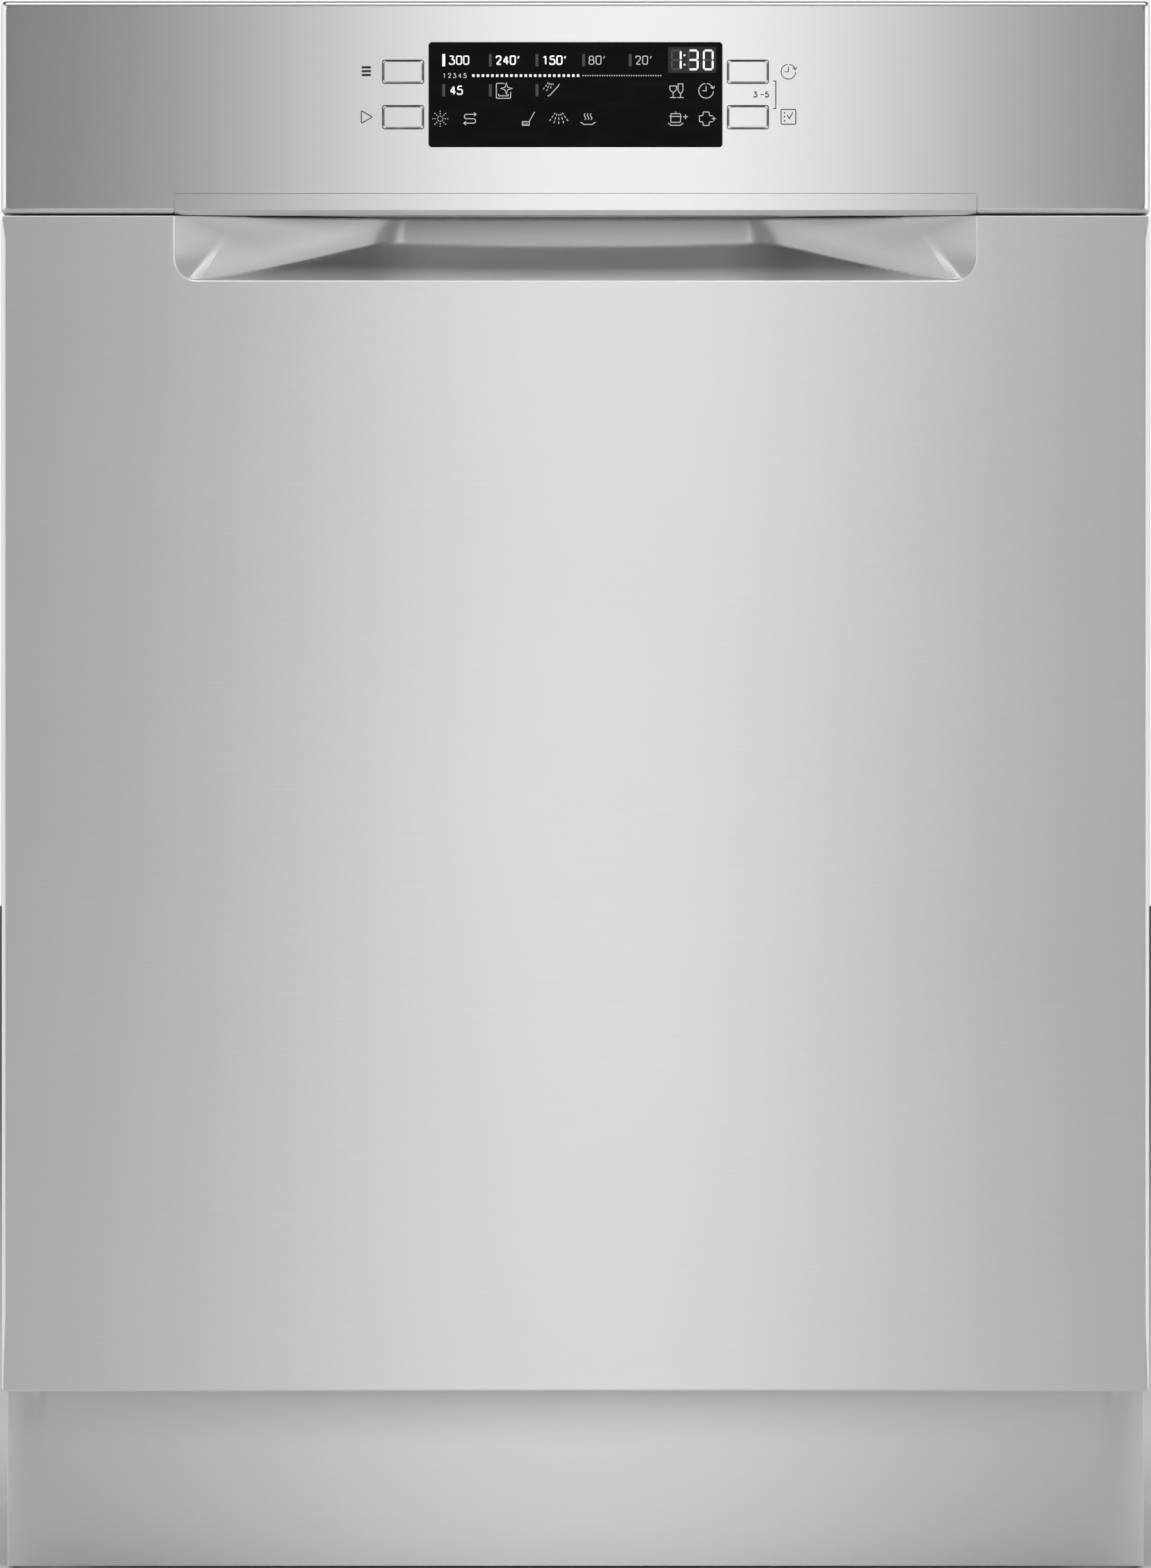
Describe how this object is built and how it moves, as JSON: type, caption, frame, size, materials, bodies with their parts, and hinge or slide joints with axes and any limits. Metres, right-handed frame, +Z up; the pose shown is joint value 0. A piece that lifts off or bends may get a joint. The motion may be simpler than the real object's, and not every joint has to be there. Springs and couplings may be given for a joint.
{
  "type": "built-in dishwasher",
  "caption": "Built-under dishwasher with a steel door, pocket handle and display panel; its door swings down over roll-out racks, spray arms and wet works in a steel tub.",
  "frame": {"origin": "on the floor under the middle of the machine's footprint", "axes": "+Z up, -Y to the kitchen (the door's side), +X to the right seen from the front"},
  "size_m": [0.596, 0.576, 0.818],
  "materials": {
    "brushed_steel": "horizontally brushed stainless steel",
    "panel_steel": "satin steel-coloured control panel",
    "tub_steel": "bright drawn stainless steel",
    "zinc_sheet": "galvanised sheet",
    "plinth_grey": "smooth grey paint",
    "black_glass": "glossy black window",
    "seal_rubber": "matt rubber",
    "grey_plastic": "moulded grey plastic",
    "dark_plastic": "moulded dark plastic",
    "white_plastic": "moulded white plastic",
    "coated_wire": "grey nylon-coated wire"
  },
  "bodies": {
    "cabinet": {"base": "dark_plastic", "tub": "tub_steel", "left_side_panel": "zinc_sheet", "right_side_panel": "zinc_sheet", "rear_panel": "zinc_sheet", "top_plate": "zinc_sheet", "plinth": "plinth_grey", "door_seal": "seal_rubber", "sump": "dark_plastic", "flat_filter": "tub_steel", "circulation_pump": "dark_plastic", "drain_pump": "grey_plastic", "softener": "white_plastic", "water_valve": "white_plastic", "feed_tube": "grey_plastic", "left_runner": "tub_steel", "right_runner": "tub_steel", "latch_catch": "tub_steel", "left_hinge_bracket": "zinc_sheet", "right_hinge_bracket": "zinc_sheet"},
    "door": {"door_panel": "brushed_steel", "door_liner": "tub_steel", "fascia": "panel_steel", "grip_strip": "panel_steel", "display_window": "black_glass", "control_board": "dark_plastic", "dispenser": "grey_plastic", "door_latch": "dark_plastic", "left_hinge_arm": "zinc_sheet", "right_hinge_arm": "zinc_sheet"},
    "upper_carriage": {"left_rack_carrier": "grey_plastic", "right_rack_carrier": "grey_plastic"},
    "upper_basket": {"upper_rack": "coated_wire"},
    "lower_basket": {"lower_rack": "coated_wire"},
    "program_button": {"program_button": "panel_steel"},
    "start_button": {"start_button": "panel_steel"},
    "delay_button": {"delay_button": "panel_steel"},
    "option_button": {"option_button": "panel_steel"},
    "dispenser_lid": {"dispenser_lid": "dark_plastic"},
    "rinse_aid_cap": {"rinse_aid_cap": "dark_plastic"},
    "lower_spray_arm": {"lower_spray_arm": "grey_plastic"},
    "ceiling_spray_arm": {"ceiling_spray_arm": "grey_plastic"},
    "upper_spray_arm": {"upper_spray_arm": "grey_plastic"},
    "coarse_filter": {"coarse_filter": "dark_plastic"},
    "salt_cap": {"salt_cap": "grey_plastic"},
    "right_cup_shelf": {"right_cup_shelf": "grey_plastic"},
    "left_cup_shelf": {"left_cup_shelf": "grey_plastic"},
    "right_front_roller": {"right_front_roller": "white_plastic"},
    "right_front_rack_wheel": {"right_front_rack_wheel": "grey_plastic"},
    "left_front_roller": {"left_front_roller": "white_plastic"},
    "left_front_rack_wheel": {"left_front_rack_wheel": "grey_plastic"},
    "right_rear_roller": {"right_rear_roller": "white_plastic"},
    "right_rear_rack_wheel": {"right_rear_rack_wheel": "grey_plastic"},
    "left_rear_roller": {"left_rear_roller": "white_plastic"},
    "left_rear_rack_wheel": {"left_rear_rack_wheel": "grey_plastic"},
    "folding_tines": {"folding_tines": "coated_wire"},
    "cutlery_basket": {"cutlery_basket": "grey_plastic"},
    "foot_front_left": {"foot_front_left": "dark_plastic"},
    "foot_front_right": {"foot_front_right": "dark_plastic"},
    "foot_rear": {"foot_rear": "dark_plastic"}
  },
  "joints": [
    {"name": "door_hinge", "type": "hinge", "parent": "cabinet", "child": "door", "pos_m": [0, -0.24, 0.104], "axis": [1, 0, 0], "range_deg": [0, 90], "stiffness_Nm_per_rad": 20},
    {"name": "program_button_press", "type": "slide", "parent": "door", "child": "program_button", "axis": [0, 1, 0], "range_m": [0, 0.0012], "stiffness_N_per_m": 400},
    {"name": "start_button_press", "type": "slide", "parent": "door", "child": "start_button", "axis": [0, 1, 0], "range_m": [0, 0.0012], "stiffness_N_per_m": 400},
    {"name": "delay_button_press", "type": "slide", "parent": "door", "child": "delay_button", "axis": [0, 1, 0], "range_m": [0, 0.0012], "stiffness_N_per_m": 400},
    {"name": "option_button_press", "type": "slide", "parent": "door", "child": "option_button", "axis": [0, 1, 0], "range_m": [0, 0.0012], "stiffness_N_per_m": 400},
    {"name": "dispenser_lid_slide", "type": "slide", "parent": "door", "child": "dispenser_lid", "axis": [0, 0, 1], "range_m": [0, 0.06]},
    {"name": "rinse_aid_cap_twist", "type": "hinge", "parent": "door", "child": "rinse_aid_cap", "pos_m": [0.058, -0.2433, 0.5], "axis": [0, 1, 0], "range_deg": [0, 90]},
    {"name": "lower_spray_arm_spin", "type": "hinge", "parent": "cabinet", "child": "lower_spray_arm", "pos_m": [0, 0.016, 0.178], "axis": [0, 0, 1], "continuous": true},
    {"name": "ceiling_spray_arm_spin", "type": "hinge", "parent": "cabinet", "child": "ceiling_spray_arm", "pos_m": [0, 0.016, 0.758], "axis": [0, 0, 1], "continuous": true},
    {"name": "upper_spray_arm_spin", "type": "hinge", "parent": "upper_basket", "child": "upper_spray_arm", "pos_m": [0, 0.016, 0.442], "axis": [0, 0, 1], "continuous": true},
    {"name": "coarse_filter_twist", "type": "hinge", "parent": "cabinet", "child": "coarse_filter", "pos_m": [0.095, 0.016, 0.13], "axis": [0, 0, 1], "range_deg": [0, 90]},
    {"name": "salt_cap_twist", "type": "hinge", "parent": "cabinet", "child": "salt_cap", "pos_m": [-0.206, -0.12, 0.155], "axis": [0, 0, 1], "range_deg": [0, 360]},
    {"name": "upper_rack_slide", "type": "slide", "parent": "cabinet", "child": "upper_carriage", "axis": [0, -1, 0], "range_m": [0, 0.028]},
    {"name": "upper_rack_lift", "type": "slide", "parent": "upper_carriage", "child": "upper_basket", "axis": [0, 0, 1], "range_m": [0, 0.05]},
    {"name": "lower_rack_slide", "type": "slide", "parent": "cabinet", "child": "lower_basket", "axis": [0, -1, 0], "range_m": [0, 0.028]},
    {"name": "right_cup_shelf_fold", "type": "hinge", "parent": "upper_basket", "child": "right_cup_shelf", "pos_m": [0.23, 0, 0.552], "axis": [0, 1, 0], "range_deg": [0, 85]},
    {"name": "left_cup_shelf_fold", "type": "hinge", "parent": "upper_basket", "child": "left_cup_shelf", "pos_m": [-0.23, 0, 0.552], "axis": [0, -1, 0], "range_deg": [0, 85]},
    {"name": "right_front_roller_spin", "type": "hinge", "parent": "upper_carriage", "child": "right_front_roller", "pos_m": [0.269, -0.09, 0.5363], "axis": [1, 0, 0], "continuous": true},
    {"name": "right_front_rack_wheel_spin", "type": "hinge", "parent": "lower_basket", "child": "right_front_rack_wheel", "pos_m": [0.2665, -0.09796, 0.1743], "axis": [1, 0, 0], "continuous": true},
    {"name": "left_front_roller_spin", "type": "hinge", "parent": "upper_carriage", "child": "left_front_roller", "pos_m": [-0.269, -0.09, 0.5363], "axis": [1, 0, 0], "continuous": true},
    {"name": "left_front_rack_wheel_spin", "type": "hinge", "parent": "lower_basket", "child": "left_front_rack_wheel", "pos_m": [-0.2665, -0.09796, 0.1743], "axis": [1, 0, 0], "continuous": true},
    {"name": "right_rear_roller_spin", "type": "hinge", "parent": "upper_carriage", "child": "right_rear_roller", "pos_m": [0.269, 0.13, 0.5363], "axis": [1, 0, 0], "continuous": true},
    {"name": "right_rear_rack_wheel_spin", "type": "hinge", "parent": "lower_basket", "child": "right_rear_rack_wheel", "pos_m": [0.2665, 0.13496, 0.1743], "axis": [1, 0, 0], "continuous": true},
    {"name": "left_rear_roller_spin", "type": "hinge", "parent": "upper_carriage", "child": "left_rear_roller", "pos_m": [-0.269, 0.13, 0.5363], "axis": [1, 0, 0], "continuous": true},
    {"name": "left_rear_rack_wheel_spin", "type": "hinge", "parent": "lower_basket", "child": "left_rear_rack_wheel", "pos_m": [-0.2665, 0.13496, 0.1743], "axis": [1, 0, 0], "continuous": true},
    {"name": "folding_tines_fold", "type": "hinge", "parent": "lower_basket", "child": "folding_tines", "pos_m": [0, 0, 0.19846], "axis": [0, 1, 0], "range_deg": [0, 90]},
    {"name": "cutlery_basket_lift", "type": "slide", "parent": "lower_basket", "child": "cutlery_basket", "axis": [0, 0, 1], "range_m": [0, 0.09]},
    {"name": "foot_front_left_screw", "type": "slide", "parent": "cabinet", "child": "foot_front_left", "axis": [0, 0, -1], "range_m": [0, 0.03]},
    {"name": "foot_front_right_screw", "type": "slide", "parent": "cabinet", "child": "foot_front_right", "axis": [0, 0, -1], "range_m": [0, 0.03]},
    {"name": "foot_rear_screw", "type": "slide", "parent": "cabinet", "child": "foot_rear", "axis": [0, 0, -1], "range_m": [0, 0.03]}
  ],
  "couplings": [
    {"joint": "right_front_roller_spin", "follows": "upper_rack_slide", "rad_per_m": 100},
    {"joint": "right_front_rack_wheel_spin", "follows": "lower_rack_slide", "rad_per_m": 55.556},
    {"joint": "left_front_roller_spin", "follows": "upper_rack_slide", "rad_per_m": 100},
    {"joint": "left_front_rack_wheel_spin", "follows": "lower_rack_slide", "rad_per_m": 55.556},
    {"joint": "right_rear_roller_spin", "follows": "upper_rack_slide", "rad_per_m": 100},
    {"joint": "right_rear_rack_wheel_spin", "follows": "lower_rack_slide", "rad_per_m": 55.556},
    {"joint": "left_rear_roller_spin", "follows": "upper_rack_slide", "rad_per_m": 100},
    {"joint": "left_rear_rack_wheel_spin", "follows": "lower_rack_slide", "rad_per_m": 55.556}
  ]
}
